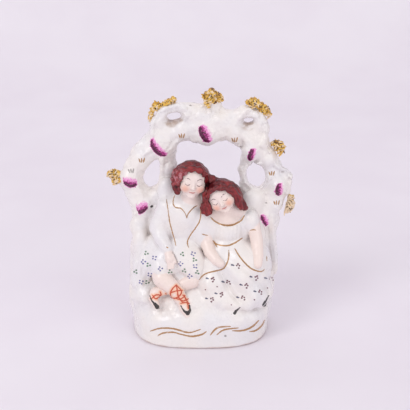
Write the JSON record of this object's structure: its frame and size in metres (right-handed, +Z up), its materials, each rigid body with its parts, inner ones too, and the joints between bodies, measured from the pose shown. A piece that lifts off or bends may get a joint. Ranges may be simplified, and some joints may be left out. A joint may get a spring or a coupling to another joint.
{
  "type": "earthenware figure group",
  "caption": "Press-moulded earthenware ornament: a boy and a girl seated leaning together under a pierced arbour, on one plinth with a flat back.",
  "frame": {"origin": "centre of the plinth's flat underside: the middle of its width, 31 mm behind its front", "axes": "+Z up, -Y out of the decorated front, +X to the right of someone facing the front"},
  "size_m": [0.1516, 0.0606, 0.2009],
  "materials": {
    "glazed_body": "white glaze with hand-painted colours and gilt lines",
    "ochre_clay": "shredded clay in ochre glaze with brown flecks"
  },
  "bodies": {
    "root": {"figure_group": "glazed_body", "tuft_top_left": "ochre_clay", "tuft_top_middle": "ochre_clay", "tuft_top_right": "ochre_clay", "tuft_right_upper": "ochre_clay", "tuft_right_lower": "ochre_clay", "tuft_left": "ochre_clay"}
  },
  "joints": []
}
